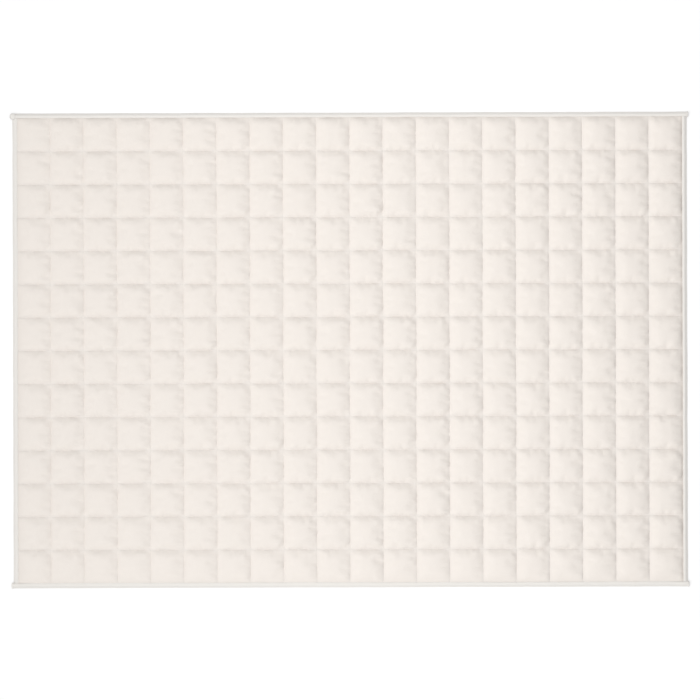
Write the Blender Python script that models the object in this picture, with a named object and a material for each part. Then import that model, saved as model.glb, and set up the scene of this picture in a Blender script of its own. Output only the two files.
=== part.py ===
"""Weighted blanket, 2.0 m by 1.4 m, laid out flat.

A filled panel is sewn into 20 by 14 square pockets. Its flat, unfilled edge is bound with folded
tape in four strips: the two side strips first, then the two end strips, which run over the side
strips' ends and stand out past them as small tucked-in ears. X runs along the length, Y across it
and Z up, and the blanket lies on Z = 0 with its middle over the origin. Sizes are in metres.
"""

from math import pi

import bmesh
import bpy
import numpy as np

# The bound blanket, without the ears
LENGTH = 2.000
WIDTH = 1.408
COLUMNS = 20
ROWS = 14

# The filled panel
POCKET_TOP = 0.0145          # height of a filled pocket's crown
CHANNEL_TOP = 0.0045         # top of the cloth along a sewn line
CHANNEL_BOTTOM = 0.0020      # underside of the cloth along a sewn line
CHANNEL_FOOT = 0.0090        # from a sewn line to where the underside meets the floor
SEAM_MARGIN = 0.0145         # from the outer edge to the first line of the even spacing
FLAT_EDGE = 0.0165           # unfilled edge of the panel, measured from the outer edge
EDGE_CLOTH = 0.0022          # thickness of the unfilled edge
FILL_SPREAD = 0.06           # how much one pocket's fill differs from the next
SEAM_WANDER = 0.0008         # how far a sewn line strays from straight

# The tape, in section
TAPE = 0.0011                # one layer, with its turned-in edge
TAPE_FACE = 0.0160           # width of the folded strip, seen from above
TAPE_CROWN = 0.0007          # how far the strip's upper layer swells
FOLD_DEPTH = 0.0025          # depth of the round fold
CLEAR = 0.0003               # gap between two pieces

# What follows from these
SLOT_END = TAPE + 0.0005                             # inside of the fold
EDGE_MIDDLE = TAPE + CLEAR + EDGE_CLOTH / 2          # mid-height of the unfilled edge
CORNER_LIFT = TAPE + CLEAR                           # what lies over an end strip's lower layer
PANEL_INSET = SLOT_END + CLEAR                       # edge of the cloth inside the fold
SLOT_HEIGHT = EDGE_CLOTH + 2 * CLEAR

# Ears of the end strips: how far each stands out past the side strips
EAR_LENGTH = {
    ("binding_top", -1): 0.0077,
    ("binding_top", 1): 0.0077,
    ("binding_bottom", -1): 0.0077,
    ("binding_bottom", 1): 0.0068,
}
EAR_FACE = 0.0195            # width of an ear, a little more than its strip's
EAR_START = 0.0008           # where the solid, tucked-in end begins
EAR_PROFILE = (              # share of the ear's length, of its width, of its thickness
    (0.45, 1.00, 1.00),
    (0.80, 0.93, 0.86),
    (1.00, 0.72, 0.55),
)

# Lines that the upper cloth's points follow inside one pocket, as shares of its side
POCKET_SHARES = (0.0, 0.18, 0.5, 0.82)

QUILT_COLOUR = (0.913, 0.855, 0.807, 1.0)
TAPE_COLOUR = (0.871, 0.847, 0.807, 1.0)
CLOTH_ROUGHNESS = 0.92
SMOOTH_ANGLE = 0.9


def fabric(name, colour):
    """A matt woven cloth."""
    material = bpy.data.materials.new(name)
    material.use_nodes = True
    shader = material.node_tree.nodes["Principled BSDF"]
    shader.inputs["Base Color"].default_value = colour
    shader.inputs["Roughness"].default_value = CLOTH_ROUGHNESS
    shader.inputs["Metallic"].default_value = 0.0
    material.diffuse_color = colour
    return material


def finish_object(name, shape, material):
    """Turn a closed bmesh into a named object with its faces pointing out."""
    bmesh.ops.recalc_face_normals(shape, faces=shape.faces)
    mesh = bpy.data.meshes.new(name)
    shape.to_mesh(mesh)
    shape.free()
    mesh.shade_smooth()
    mesh.set_sharp_from_angle(angle=SMOOTH_ANGLE)
    mesh.materials.append(material)
    thing = bpy.data.objects.new(name, mesh)
    bpy.context.scene.collection.objects.link(thing)
    return thing


def seam_lines(size, count):
    """Sewn lines across one direction: evenly spaced, the outermost two drawn in under the tape."""
    lines = np.linspace(SEAM_MARGIN - size / 2, size / 2 - SEAM_MARGIN, count + 1)
    lines[0] = FLAT_EDGE - size / 2
    lines[-1] = size / 2 - FLAT_EDGE
    return lines


SEAMS_X = seam_lines(LENGTH, COLUMNS)
SEAMS_Y = seam_lines(WIDTH, ROWS)


def edge_lift(position, seams):
    """0 over the inner pockets, rising evenly across the outermost pocket to 1 at the bound edge."""
    return np.interp(abs(position), (seams[-2], seams[-1]), (0.0, 1.0))


def lift(x, y):
    """How far the flat edge is raised where an end strip wraps a side strip, none elsewhere."""
    return CORNER_LIFT * edge_lift(x, SEAMS_X) * edge_lift(y, SEAMS_Y)


def stray(x, y):
    """A sewn line's drift off straight: two slow waves that die out at the bound edge."""
    inside = (1 - (2 * x / LENGTH) ** 2) * (1 - (2 * y / WIDTH) ** 2)
    across = SEAM_WANDER * inside * np.sin(9.0 * x + 14.0 * y)
    along = SEAM_WANDER * inside * np.sin(17.0 * x - 6.0 * y + 1.0)
    return x + across, y + along


def fine_lines(seams):
    """Every line of the upper cloth's points: the sewn lines and the shares between them."""
    inner = [a + share * (b - a) for a, b in zip(seams, seams[1:]) for share in POCKET_SHARES]
    return np.array(inner + [seams[-1]])


def swell(share):
    """Rise of a pocket across one direction: steep at the sewn lines and nearly flat on top."""
    return (1 - abs(2 * share - 1) ** 2.4) ** 0.6


def pocket_height(column, row, fills):
    """Height of the upper cloth at a fine line's crossing, counted in shares of a pocket."""
    steps = len(POCKET_SHARES)
    share_x = POCKET_SHARES[column % steps]
    share_y = POCKET_SHARES[row % steps]
    fill = fills[min(column // steps, COLUMNS - 1), min(row // steps, ROWS - 1)]
    return CHANNEL_TOP + (POCKET_TOP - CHANNEL_TOP) * fill * swell(share_x) * swell(share_y)


def zip_rows(shape, near, far):
    """Fill the band between two rows of (position, point) with triangles, row behind first."""
    i = j = 0
    while i < len(near) - 1 or j < len(far) - 1:
        near_is_behind = i < len(near) - 1 and (j == len(far) - 1 or near[i + 1][0] <= far[j + 1][0])
        if near_is_behind:
            shape.faces.new((near[i][1], near[i + 1][1], far[j][1]))
            i += 1
        else:
            shape.faces.new((near[i][1], far[j + 1][1], far[j][1]))
            j += 1


def add_point(points, shape, key, x, y, z):
    """One shared mesh point, made the first time that its key is asked for."""
    if key not in points:
        points[key] = shape.verts.new((x, y, z))
    return points[key]


def upper_cloth(shape, points, fills):
    """The pockets' upper faces inside the outermost lines, then a zipped band out to the latter."""
    fine_x = fine_lines(SEAMS_X)
    fine_y = fine_lines(SEAMS_Y)
    last_x = len(fine_x) - 1
    last_y = len(fine_y) - 1
    grid = {}
    for i in range(1, last_x):
        for j in range(1, last_y):
            x, y = stray(fine_x[i], fine_y[j])
            grid[i, j] = shape.verts.new((x, y, pocket_height(i, j, fills)))
    for i in range(1, last_x - 1):
        for j in range(1, last_y - 1):
            shape.faces.new((grid[i, j], grid[i + 1, j], grid[i + 1, j + 1], grid[i, j + 1]))

    for side, row in ((0, 1), (ROWS, last_y - 1)):
        near = [(SEAMS_X[k], points["top", k, side]) for k in range(COLUMNS + 1)]
        zip_rows(shape, near, [(fine_x[i], grid[i, row]) for i in range(1, last_x)])
    for side, column in ((0, 1), (COLUMNS, last_x - 1)):
        near = [(SEAMS_Y[k], points["top", side, k]) for k in range(ROWS + 1)]
        zip_rows(shape, near, [(fine_y[j], grid[column, j]) for j in range(1, last_y)])


def lower_cloth(shape, points):
    """Each pocket's flat foot on the floor and the four slopes up to the sewn lines round it."""
    for i in range(COLUMNS):
        for j in range(ROWS):
            rim = [points["under", i + a, j + b] for a, b in ((0, 0), (1, 0), (1, 1), (0, 1))]
            middle_x = (SEAMS_X[i] + SEAMS_X[i + 1]) / 2
            middle_y = (SEAMS_Y[j] + SEAMS_Y[j + 1]) / 2
            reach_x = (SEAMS_X[i + 1] - SEAMS_X[i]) / 2 - CHANNEL_FOOT
            reach_y = (SEAMS_Y[j + 1] - SEAMS_Y[j]) / 2 - CHANNEL_FOOT
            foot = [shape.verts.new((middle_x + a * reach_x, middle_y + b * reach_y, 0.0))
                    for a, b in ((-1, -1), (1, -1), (1, 1), (-1, 1))]
            shape.faces.new(foot)
            for k in range(4):
                after = (k + 1) % 4
                shape.faces.new((rim[k], rim[after], foot[after], foot[k]))


def flat_edge(shape, points):
    """The unfilled edge: a band on each face from the outermost line to the cloth's cut edge."""
    edge_x = LENGTH / 2 - PANEL_INSET
    edge_y = WIDTH / 2 - PANEL_INSET
    rows = {}
    for face, height in (("top", EDGE_CLOTH / 2), ("under", -EDGE_CLOTH / 2)):
        for side, seam in ((-1, 0), (1, ROWS)):
            cut = [-edge_x, *SEAMS_X, edge_x]
            far = [(x, add_point(points, shape, (face, x, side * edge_y),
                                 x, side * edge_y, EDGE_MIDDLE + height + lift(x, edge_y))) for x in cut]
            zip_rows(shape, [(SEAMS_X[k], points[face, k, seam]) for k in range(COLUMNS + 1)], far)
            rows[face, "y", side] = [point for _, point in far]
        for side, seam in ((-1, 0), (1, COLUMNS)):
            cut = [-edge_y, *SEAMS_Y, edge_y]
            far = [(y, add_point(points, shape, (face, side * edge_x, y),
                                 side * edge_x, y, EDGE_MIDDLE + height + lift(edge_x, y))) for y in cut]
            zip_rows(shape, [(SEAMS_Y[k], points[face, seam, k]) for k in range(ROWS + 1)], far)
            rows[face, "x", side] = [point for _, point in far]
    for direction in ("x", "y"):
        for side in (-1, 1):
            top = rows["top", direction, side]
            under = rows["under", direction, side]
            for k in range(len(top) - 1):
                shape.faces.new((top[k], top[k + 1], under[k + 1], under[k]))


def quilt():
    """The filled panel: pockets, sewn channels and the flat edge as one closed solid."""
    fills = 1 + FILL_SPREAD * np.random.default_rng(5).uniform(-1, 1, (COLUMNS, ROWS))
    shape = bmesh.new()
    points = {}
    for i, seam_x in enumerate(SEAMS_X):
        for j, seam_y in enumerate(SEAMS_Y):
            outermost = i in (0, COLUMNS) or j in (0, ROWS)
            x, y = (seam_x, seam_y) if outermost else stray(seam_x, seam_y)
            raised = lift(seam_x, seam_y)
            if outermost:
                add_point(points, shape, ("top", i, j), x, y, EDGE_MIDDLE + EDGE_CLOTH / 2 + raised)
                add_point(points, shape, ("under", i, j), x, y, EDGE_MIDDLE - EDGE_CLOTH / 2 + raised)
            else:
                add_point(points, shape, ("under", i, j), x, y, CHANNEL_BOTTOM)
    upper_cloth(shape, points, fills)
    lower_cloth(shape, points)
    flat_edge(shape, points)
    return finish_object("quilt", shape, fabric("quilt cloth", QUILT_COLOUR))


def fold_outside(face, bottom, top, crown):
    """Outer side of a folded tape as (depth in from the edge, height): lower lip, fold, upper lip."""
    turn = np.linspace(-pi / 2, pi / 2, 7)
    depth = FOLD_DEPTH * (1 - np.cos(turn))
    height = (bottom + top) / 2 + (top - bottom) / 2 * np.sin(turn)
    upper = [(0.40 * face, top + crown), (0.75 * face, top + crown), (face, top)]
    return np.array([(face, bottom), *zip(depth, height), *upper])


def open_section(bottom, slot_bottom, slot_top, crown):
    """A folded tape round what it binds: the outer side, then the slot from lip to lip."""
    outside = fold_outside(TAPE_FACE, bottom, slot_top + TAPE, crown)
    slot = [(TAPE_FACE, slot_top), (SLOT_END, slot_top), (SLOT_END, slot_bottom), (TAPE_FACE, slot_bottom)]
    return np.vstack([outside, slot])


def tucked_section(face, bottom, top):
    """A strip's tucked-in end: as solid as it is folded, round at the side that has no slot."""
    outside = fold_outside(face, bottom, top, 0.0)
    bulge = FOLD_DEPTH * np.array([0.6, 1.0, 1.0, 0.6])
    heights = bottom + (top - bottom) * np.array([0.85, 0.60, 0.40, 0.15])
    return np.vstack([outside, np.column_stack([face + bulge, heights])])


def loft(name, stations, place):
    """Skin a row of (position, section) into a closed strip; place puts its points in the world."""
    shape = bmesh.new()
    rings = [[shape.verts.new(place(position, depth, height)) for depth, height in section]
             for position, section in stations]
    count = len(rings[0])
    for ring, after in zip(rings, rings[1:]):
        for k in range(count):
            beyond = (k + 1) % count
            shape.faces.new((ring[k], ring[beyond], after[beyond], after[k]))
    shape.faces.new(rings[0])
    shape.faces.new(rings[-1])
    return finish_object(name, shape, TAPE_CLOTH)


def side_strip(name, side):
    """A side strip: it lies flat on the floor and its ends are raised into the end strips."""
    stop = WIDTH / 2 - PANEL_INSET
    stations = []
    for y in (-stop, *SEAMS_Y[:2], *SEAMS_Y[3:-2:2], *SEAMS_Y[-2:], stop):
        rise = edge_lift(y, SEAMS_Y)
        section = open_section(0.0, TAPE, TAPE + SLOT_HEIGHT, TAPE_CROWN * (1 - rise))
        stations.append((y, section + (0.0, CORNER_LIFT * rise)))
    loft(name, stations, lambda y, depth, height: (side * (LENGTH / 2 - depth), y, height))


def ear(name, end):
    """The tucked-in end of an end strip, from where it leaves the side strip to its tip."""
    thickness = SLOT_HEIGHT + 2 * CORNER_LIFT + 2 * TAPE
    reach = EAR_LENGTH[name, end]
    stations = [(EAR_START, tucked_section(TAPE_FACE, 0.0, thickness))]
    for along, face_share, thick_share in EAR_PROFILE:
        drop = (1 - thick_share) * thickness / 2
        section = tucked_section(EAR_FACE * face_share - FOLD_DEPTH, drop, thickness - drop)
        section[:, 0] += EAR_FACE * (1 - face_share) / 2
        stations.append((EAR_START + along * (reach - EAR_START), section))
    return [(end * (LENGTH / 2 + out), section) for out, section in stations]


def end_strip(name, side):
    """An end strip: its slot opens up near both ends to take the side strips, and it ends in ears."""
    slot_stop = LENGTH / 2 + CLEAR + 0.0001
    stations = []
    for x in (-slot_stop, *SEAMS_X[:2], *SEAMS_X[3:-2:2], *SEAMS_X[-2:], slot_stop):
        rise = edge_lift(x, SEAMS_X)
        slot_top = TAPE + SLOT_HEIGHT + 2 * CORNER_LIFT * rise
        stations.append((x, open_section(0.0, TAPE, slot_top, TAPE_CROWN * (1 - rise))))
    stations = ear(name, -1)[::-1] + stations + ear(name, 1)
    loft(name, stations, lambda x, depth, height: (x, side * (WIDTH / 2 - depth), height))


for old in list(bpy.data.objects):
    bpy.data.objects.remove(old)

TAPE_CLOTH = fabric("binding tape", TAPE_COLOUR)
quilt()
side_strip("binding_left", -1)
side_strip("binding_right", 1)
end_strip("binding_bottom", -1)
end_strip("binding_top", 1)
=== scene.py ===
"""The looks of the weighted blanket: puckered quilting, sewn seams and folded edge tape.

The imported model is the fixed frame. The quilted panel and the four strips of tape are modelled
again here at full detail over their solids, and the sewing thread is added. Sizes are in metres,
with X along the blanket, Y across it and Z up from the floor.
"""

from math import pi, radians

import bmesh
import bpy
import numpy as np
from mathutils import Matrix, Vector


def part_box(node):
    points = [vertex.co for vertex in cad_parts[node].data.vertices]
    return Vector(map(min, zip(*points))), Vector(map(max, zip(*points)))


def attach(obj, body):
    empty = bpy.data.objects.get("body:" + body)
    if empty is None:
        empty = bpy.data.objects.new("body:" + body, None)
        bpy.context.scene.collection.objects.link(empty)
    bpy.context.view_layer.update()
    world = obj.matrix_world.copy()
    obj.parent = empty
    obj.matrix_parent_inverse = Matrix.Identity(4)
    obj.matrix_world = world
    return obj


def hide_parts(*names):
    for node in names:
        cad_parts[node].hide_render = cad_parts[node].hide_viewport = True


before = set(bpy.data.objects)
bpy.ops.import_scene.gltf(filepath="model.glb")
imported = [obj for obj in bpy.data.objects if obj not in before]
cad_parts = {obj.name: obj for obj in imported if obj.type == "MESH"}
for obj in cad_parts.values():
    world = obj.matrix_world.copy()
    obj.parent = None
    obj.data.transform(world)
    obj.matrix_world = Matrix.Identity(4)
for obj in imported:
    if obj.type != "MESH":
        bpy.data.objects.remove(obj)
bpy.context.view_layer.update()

# The bound blanket, read from the frame
LENGTH = 2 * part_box("binding_right")[1][0]
WIDTH = 2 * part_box("binding_top")[1][1]
COLUMNS = 20
ROWS = 14

# Where the random draws start
QUILT_SEED = 11
TAPE_SEED = 30               # of the first strip, and one more for each next

# The quilted panel
CHANNEL_TOP = 0.0026         # upper cloth along a sewn line
CHANNEL_BOTTOM = 0.0014      # lower cloth along a sewn line
POCKET_RISE = 0.0126         # crown of a pocket over its sewn lines
PINCH = 0.0007               # the part of that rise that the thread draws in sharply
PINCH_REACH = 0.0018         # and the distance from the line over which it does
SEAM_MARGIN = 0.0145         # from the outer edge to the first line of the even spacing
SEAM_SHIFT = {"X": -0.0008, "Y": 0.0001}        # the inner lines lie off the middle by this
FLAT_EDGES = {               # unfilled edge, measured from the outer edge, at each end of a direction
    "X": (0.0147, 0.0152),
    "Y": (0.0148, 0.0148),
}
EDGE_CLOTH = 0.0022          # thickness of the unfilled edge
FILL_SPREAD = 0.08           # share by which a pocket's fill differs from the mean, at most
SWELL_POWERS = (2.4, 0.6)    # shape of a pocket's rise: steep at its sewn lines, nearly flat on top

# How a sewn line strays from straight: in slow waves, and in quick ones where gathers pull it
SEAM_WANDER = 0.0008
WANDER_WAVES = {             # radians a metre along X and along Y, and phase
    "X": (9.0, 14.0, 0.0),
    "Y": (17.0, -6.0, 1.0),
}
SEAM_WOBBLE = 0.0005
WOBBLE_WAVES = (             # share, radians a metre along the seam and from seam to seam, and phase
    (0.5, 262.0, 71.0, 0.0),
    (0.6, 171.0, -39.0, 2.0),
    (0.5, 103.0, 23.0, 4.0),
)
LENGTHWISE_WOBBLE = 0.6      # share of the quick waves that a lengthwise seam has

# The tape, and how it lies round the unfilled edge
TAPE = 0.0011                # its thickness
CLEAR = 0.0003               # gap between it and the cloth inside it
EDGE_MIDDLE = TAPE + CLEAR + EDGE_CLOTH / 2      # height of the middle of the unfilled edge
SLOT_HEIGHT = EDGE_CLOTH + 2 * CLEAR             # room inside the fold
CORNER_LIFT = TAPE + CLEAR   # an end strip's under side raises what it wraps by this
CORNER_POWER = 4             # a power that keeps that lift close to the bound edge

# Upper cloth: quads along one pocket, and those of them that the lower cloth shares
POCKET_QUADS = 18
UNDER_QUADS = (0, 2, 9, 16)
SEAM_QUAD = 0.028            # width of the quads beside a seam, as a share of the pocket

# How the upper cloth is cut and how it settles
EXTRA_LENGTH = 0.010         # share by which a pocket's cloth is cut too long for its seams, along X
EXTRA_WIDTH = 0.015          # and along Y, so that it gathers more at the crosswise seams
EXTRA_SPREAD = 0.25          # share by which both differ from that in one pocket, at most
SEW_FRAMES = 6               # frames in which the seams draw the cut cloth in
SETTLE_FRAMES = 16           # frames in all
FILL_PRESSURE = 10.0
FIRMNESS = (0.75, 1.00)      # share of that pressure, from pocket to pocket
START_RISE = 0.0036          # crown that the cloth starts from
RUFFLE = 0.0001              # unevenness that the gathers start from
RUFFLE_BLUR = 1.5            # and over how many points it is blurred
CROWN_PERCENT = 99           # a settled pocket's crown: this percentage of its points lies lower
CROWN_FLATNESS = 1.3         # the fill lies flat on top: 1 leaves the crown round

# The gathers that are added in code: each corner of a pocket holds the cloth down within a reach
CORNER_REACHES = (0.0120, 0.0120, 0.0150, 0.0180)   # near and far corner at the left, then at the right
CORNER_SPREAD = (0.85, 1.15)             # factor by which that differs from pocket to pocket
CORNER_HOLD = (0.70, 1.00)   # share by which a corner holds it down
PUCKER_REACH = 0.0110        # puckers are highest at this distance from a seam
PUCKER_BLUR = 0.9            # they are noise, blurred over so many points
PUCKER_ROOM = 2.5            # and full-sized above 1 / this of a crown's height
PUCKER_RISE = (0.0002, 0.0013, 0.0003, 0.0006)   # left, right, near and far side of a pocket
SWAG_REACH = 0.0065          # the even swags of the gathered cloth are highest at this distance
SWAG_RISE = (0.0, 0.0011, 0.0, 0.0004)
SWAGS = 3.3                  # swags along one side of a pocket
SWAG_SPREAD = (0.2, 1.3)     # their size differs by such a factor from pocket to pocket
SWAG_SHIFT = 0.12            # and their place by this share of a swag to either side
BLUR_REACH = 6               # a blur takes in this many points to either side
CALM_REACH = 0.022           # the left side of a pocket is drawn smooth over this distance
CALM_BLUR = 2.2              # by a blur over so many points
CALM_BLUR_REACH = 5          # which takes in this many to either side
CALM_LEAST = 0.0002          # added to the mean shape, so that a ratio to it stays small at a seam
FAR_EASE = (0.30, 0.0060)    # the far side starts flatter, by a share, within a reach
RIM_EASE = {"X": 0.028, "Y": 0.022}      # the outermost pockets rise gently from the left and near edge
RIM_STEP = (0.0009, 0.0012)  # after a step up beside the tape: its height, within a reach

# The folded tape in detail
ROLL_POWERS = (1.5, 0.70)    # shape of the roll at the fold: steepest at the edge, level at its end
ROLL_UNDER = 0.0040          # depth at which the roll's under side reaches the floor
LIP_FALL = 0.0005            # how much lower the sewn-down lip lies than the tape's flat
STATION = 0.0025             # spacing of the sections along a strip
ROLL_POINTS = 6              # points of a section under its roll
FACE_POINTS = 27             # over its roll and face
FACE_SPACING = 1.5           # closer together at the fold than at the lip: 1 spaces them evenly
FLOOR_POINTS = 4             # and along the floor
STITCH_INSET = 0.0024        # the binding's stitches, from its inner edge
DIP_REACH = 0.0012           # the cloth is pulled in within this of them
FOLD_CLOTH = 0.0052          # the folded tape's inner side, from the outer edge
SLOT_MIDDLE = 0.010          # a point halfway along that side, from the outer edge
MOUTH_INSET = 0.0002         # the slot's mouth lies in from the lip by this
CUT_EDGE = 0.0063            # the quilted panel's own edge and the side strips' ends, from the outer edge
END_OVERHANG = 0.0001        # an end strip passes the outer edge by this, and by CLEAR
CORNER_CROWN = 0.6           # share of its crown that a strip loses at the corners
CRINKLE_PITCH = 0.0095       # spacing of the fine crinkles that run across the tape
CRINKLE_RISE = 0.00010
CRINKLE_SLANT = 40.0         # how far they lean: turns a metre of depth

# How a strip's measures swing along it: by how much, and over what length. The edge's is in metres,
# the slant's in crinkles, and the others are shares. The face swings both slowly and quickly
TAPE_SWINGS = {
    "roll": (0.05, 0.030),
    "crown": (0.30, 0.016),
    "dip": (0.35, 0.007),
    "edge": (0.00035, 0.045),
    "face": (0.025, 0.30),
    "lip": (0.018, 0.012),
    "slant": (0.8, 0.03),
    "ridge": (0.8, 0.02),
}

# Each strip: how far it lies in from the solid's edge, its width, the height of its outermost point
# as a share of its thickness, the depth where its roll ends, its crown, the shape of its fall to the
# lip (a power), the lip's rounding (width, power) and thickness, how deep the stitches pull it in,
# and the line of painted shade along its fold (share of the colour, depth, reach)
TAPES = {
    "tape_left": dict(inset=0.0006, face=0.0148, start=0.22, roll=0.0085, crown=0.0001, fall=1.0,
                      lip=(0.0065, 1.0, 0.0005), dip=0.0001, fold=(0.23, 0.0042, 0.0026)),
    "tape_right": dict(inset=0.0004, face=0.0140, start=0.42, roll=0.0100, crown=0.0006, fall=2.0,
                       lip=(0.0016, 6.0, 0.0001), dip=0.0004, fold=(0.72, 0.0051, 0.0022)),
    "tape_bottom": dict(inset=0.0, face=0.0155, start=0.22, roll=0.0090, crown=0.0001, fall=1.0,
                        lip=(0.0060, 1.0, 0.0005), dip=0.0001, fold=(0.33, 0.0044, 0.0024)),
    "tape_top": dict(inset=0.0, face=0.0142, start=0.28, roll=0.0090, crown=0.0006, fall=2.0,
                     lip=(0.0020, 4.0, 0.0001), dip=0.0004, fold=(0.40, 0.0048, 0.0026)),
}
CORNER_SHADE_FADE = 0.5            # how much of that painted shade an end strip loses at the corners

# Ears: how far each stands out, where its puffed cloth begins inside the side strip, its width,
# its extra height, how much painted shade its rounded sides have, and its kind
EARS = {
    ("binding_top", -1): (0.0060, 0.0118, 0.0192, 0.0030, 0.46, "ball"),
    ("binding_top", 1): (0.0042, 0.0012, 0.0165, 0.0, 0.60, "stub"),
    ("binding_bottom", -1): (0.0050, 0.0012, 0.0175, 0.0, 0.20, "stub"),
    ("binding_bottom", 1): (0.0038, 0.0012, 0.0170, 0.0, 0.40, "stub"),
}
EAR_POWER = 2.3              # how square an ear is in section: 2 is round
EAR_RINGS = 22
EAR_POINTS = 48              # points of one ring
EAR_MOUTH = {                # three more rings go back inside: how far out, and shares of the full size
    "out": (1.0, 0.995, 0.90),
    "width": (0.97, 0.90, 0.80),
    "height": (0.80, 0.30, 0.10),
}
EAR_OUTSET = 0.0003          # an ear passes the strip's outer edge by this
EAR_LUMPS = (0.020, 0.015)   # its slow and quick lumps, as shares of its radius
EAR_SHADE_SPAN = (0.50, 0.40)      # painted shade from this share of the way to its rim, full after this more
BALL_POWER = 2.4             # how evenly a ball swells and rounds off: 2 is a circle
BALL_LEAST = (0.45, 0.35)    # least share of its width and of its thickness
BALL_SHADE_ROOT = 0.9              # its painted shade counts distances from its middle toward its root as less
STUB_ROOT = 0.22             # a stub widens over this share of its length
STUB_TIP = 0.55              # and rounds off from this share on
STUB_LOSSES = (              # of its width and its thickness: share lost at its root, at its tip, power
    (0.15, 0.30, 3.0),
    (0.06, 0.42, 2.6),
)

# Sewing thread
QUILTING_PITCH = 0.0042
BINDING_PITCH = 0.0036
THREAD = 0.0006
STITCH_SHARE = 0.86          # length of a stitch, as a share of its pitch
STITCH_WAIST = 0.28          # a full stitch is at its thickest at this share to either side of its middle
STITCH_DIVE = 0.7            # its ends dive this far below its middle, as a share of its radius
QUILTING_LIFT = 0.25         # how far a stitch's middle stands off the cloth, as shares of the thread
BINDING_LIFT = 0.1

# Colours of the dry cloth and thread
QUILT_COLOUR = (0.806, 0.749, 0.697)
QUILT_SHADE = (0.788, 0.739, 0.692)
TAPE_COLOUR = (0.775, 0.748, 0.712)
TAPE_SHADE = (0.757, 0.735, 0.702)
THREAD_COLOUR = (0.790, 0.752, 0.705)
# Painted shade, mixed into the cloth's colours: in the seam grooves, beside the tape and along the tape's
# fold
PAINTED_GROOVE_SHADE = (0.585, 0.575, 0.572)    # painted shade in the seam grooves
GROOVE_SHADE_REACH = 0.0048
GROOVE_SHADE_SHARES = {"X": 0.10, "Y": 0.16}   # how much of that painted shade a sewn line has
GROOVE_SHADE_RIGHTWARD = {"X": 0.8, "Y": 0.0}           # and how much more of that painted shade toward the right, less to the left
PAINTED_RIM_SHADE = (0.600, 0.540, 0.490)       # painted shade along the quilting where it dives under the tape
RIM_SHADE_REACH = 0.0140
# painted shade at each end: left and right, near and far
RIM_SHADE_SHARES = {"X": (0.15, 0.13), "Y": (0.08, 0.12)}
VALLEY_SHADOW_REACH = 0.0050        # with a painted shadow line close beside the tape
VALLEY_SHADOW_SHARES = {"X": (0.0, 0.42), "Y": (0.0, 0.05)}
PAINTED_FOLD_SHADE = (0.600, 0.580, 0.555)      # painted shade on the tape's rolled outer side, and round the ears

# Fine puckers in the quilting's surface: how far they reach after a seam and before it, how long
# and close they are (streaks a metre along and across), and how deep at the crosswise and
# lengthwise seams
GATHER_REACH = (0.003, 0.030)
GATHER_STRETCH = (16.0, 120.0)
GATHER_DEPTH = {"X": 0.0009, "Y": 0.0005}

# Any of the cloths: the clouds that its colour follows, its nap, the least roughness and how much
# the nap adds to it, and how deep the nap is in weave depths
CLOUDS = {"Scale": 9.0, "Detail": 6.0, "Roughness": 0.7}
NAP = {"Scale": 40.0, "Detail": 4.0}
ROUGHNESS = (0.78, 0.2)
NAP_DEPTH = 2
MIX_FIRST, MIX_SECOND, MIX_RESULT = 6, 7, 2      # the Mix node's sockets for colours

# Studio: a wide lamp overhead, a soft sun low at the near left, a little light from all round
AMBIENT = 0.44
SUN_FROM = (-1.18, -0.68, 1.0)
SUN_STRENGTH = 0.85
SUN_ANGLE = 35.0
LAMP_HEIGHT = 2.45
LAMP_SIZE = (3.0, 8.0)
LAMP_POWER = 87.2
FLOOR_SIZE = 9.0
FLOOR_WHITE = 0.60
FLOOR_GLOW = 0.37

# Camera and photograph
FRAME_PIXELS = 700
BLANKET_PIXELS = 674.6       # the bound length in the photograph
CENTRE_PIXELS = (350.06, 350.03)
TILT_DEGREES = 0.17          # the blanket lies turned by this in the photograph
CAMERA_HEIGHT = 5.0
SENSOR = 36.0                # in millimetres
SIGHT = 50.0                 # how far the camera sees

SCENE = bpy.context.scene
WHITE = (1.0, 1.0, 1.0, 1.0)


# ---------------------------------------------------------------- meshes

def link(name, data):
    """A new object at the origin that shows this mesh, lamp or camera."""
    thing = bpy.data.objects.new(name, data)
    SCENE.collection.objects.link(thing)
    return thing


def mesh_from(name, points, faces, smooth=True):
    """A mesh of whole arrays: points (n, 3) and faces, any mix of rows of point numbers."""
    mesh = bpy.data.meshes.new(name)
    rows = [row for block in faces for row in np.asarray(block).tolist()]
    mesh.from_pydata(points.reshape(-1, 3).tolist(), [], rows)
    mesh.update()
    if smooth:
        mesh.shade_smooth()
    return mesh


def record_share(mesh, name, values):
    """Keep one number a point with the mesh, for its material to read."""
    mesh.attributes.new(name, "FLOAT", "POINT").data.foreach_set("value", values.ravel().astype(np.float32))


def crease_edges(mesh, sewn):
    """Mark each edge between two sewn points sharp, so that light breaks there as at a seam."""
    ends = np.empty(2 * len(mesh.edges), np.int32)
    mesh.edges.foreach_get("vertices", ends)
    ends = ends.reshape(-1, 2)
    sharp = mesh.attributes.new("sharp_edge", "BOOLEAN", "EDGE")
    sharp.data.foreach_set("value", sewn[ends[:, 0]] & sewn[ends[:, 1]])


def grid_faces(numbers):
    """Quads between neighbours over the last two axes of an array of point numbers, turned up
    where X rises along the first of them and Y along the second."""
    corners = (numbers[..., :-1, :-1], numbers[..., 1:, :-1], numbers[..., 1:, 1:], numbers[..., :-1, 1:])
    return np.stack(corners, -1).reshape(-1, 4)


def ring_faces(numbers):
    """Quads of a tube: rows of point numbers, each row a closed ring."""
    closed = np.concatenate([numbers, numbers[:, :1]], 1)
    return grid_faces(closed)


def eased(share):
    """0 to 1 with a level start and end: share^2 * (3 - 2 * share)."""
    return share * share * (3 - 2 * share)


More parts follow.
